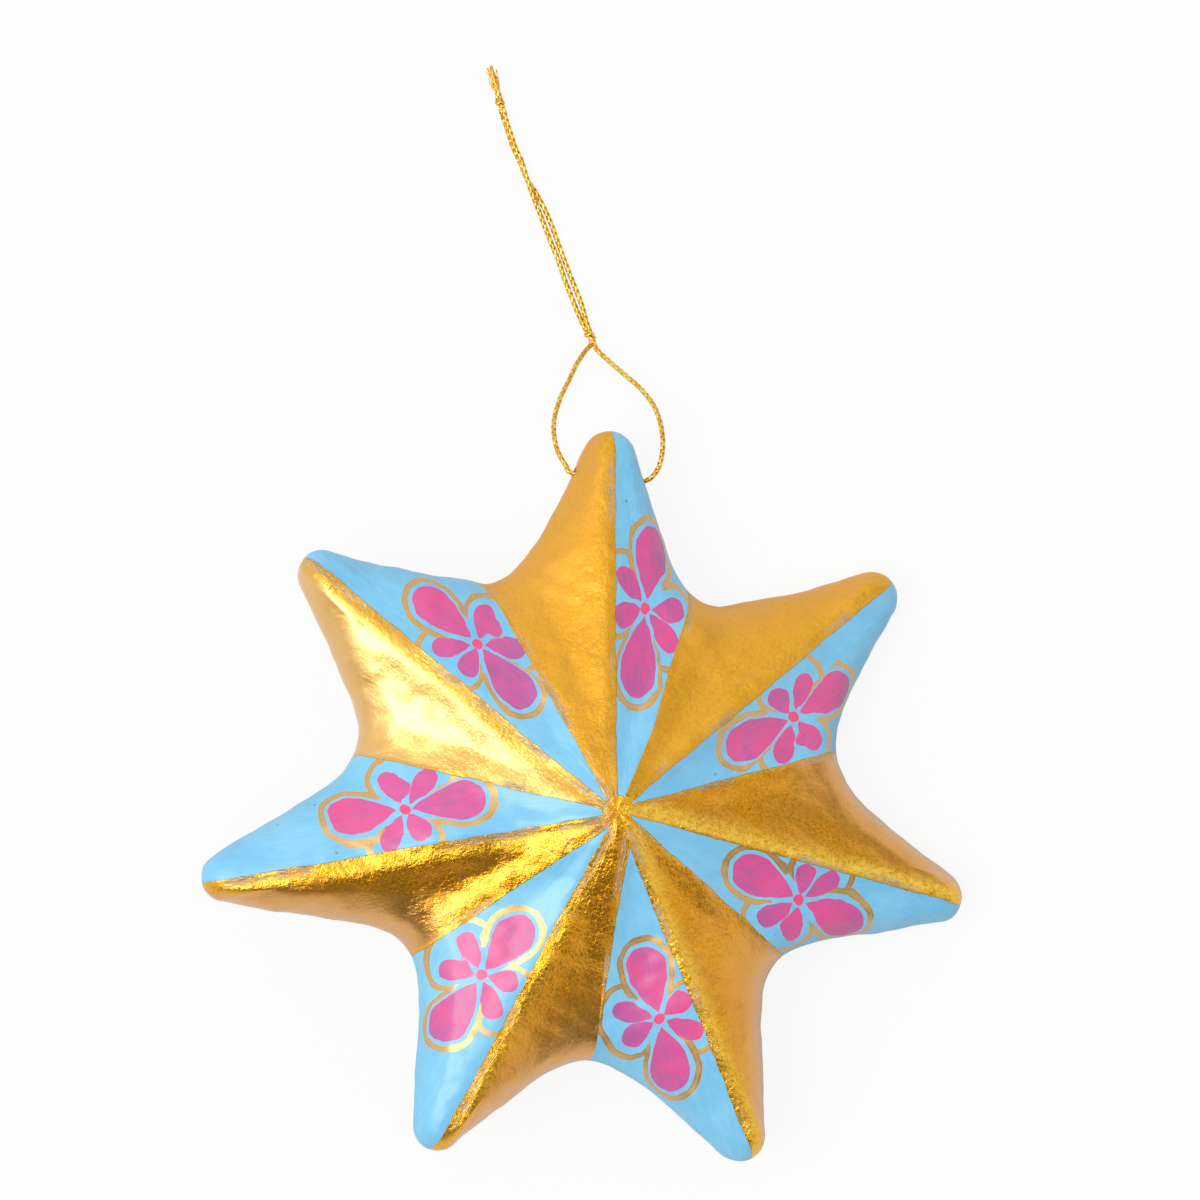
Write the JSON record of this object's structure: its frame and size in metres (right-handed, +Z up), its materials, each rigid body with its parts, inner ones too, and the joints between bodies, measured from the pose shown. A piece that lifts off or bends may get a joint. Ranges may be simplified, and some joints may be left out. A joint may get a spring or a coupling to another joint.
{
  "type": "papier mache star ornament",
  "caption": "Hollow papier mache star with ridged painted arms, hung by a knotted metallic cord threaded through one arm.",
  "frame": {"origin": "on the table, under the middle of the star's own box, cord left out", "axes": "+Z up from the table, through the star's front face; +Y from the star towards its cord; +X to the right of the picture"},
  "size_m": [0.114, 0.1642, 0.0356],
  "materials": {
    "painted_paper_front": "moulded paper pulp, sky blue paint and gold leaf in turn, satin lacquer",
    "painted_paper_back": "moulded paper pulp, gold leaf and sky blue paint in turn, satin lacquer",
    "seam_paper": "pasted paper strip, painted over with the faces",
    "metallic_cord": "braided metallic gold thread"
  },
  "bodies": {
    "star": {"front_half_shell": "painted_paper_front", "back_half_shell": "painted_paper_back", "rim_seam_strip": "seam_paper"},
    "cord_loop": {"cord_in_arm": "metallic_cord", "left_cord_leg": "metallic_cord", "right_cord_leg": "metallic_cord", "lower_knot": "metallic_cord"},
    "hanging_cord": {"left_strand": "metallic_cord", "right_strand": "metallic_cord", "upper_knot": "metallic_cord", "left_tail": "metallic_cord", "right_tail": "metallic_cord"}
  },
  "joints": [
    {"name": "loop_swing", "type": "hinge", "parent": "star", "child": "cord_loop", "pos_m": [0.00385, 0.04786, 0.01379], "axis": [0.9687, -0.1102, -0.2225], "range_deg": [-90, 100]},
    {"name": "cord_fold", "type": "hinge", "parent": "cord_loop", "child": "hanging_cord", "pos_m": [0.00135, 0.0686, 0.00095], "axis": [0.9336, 0.3584, 0], "range_deg": [-80, 80]}
  ]
}
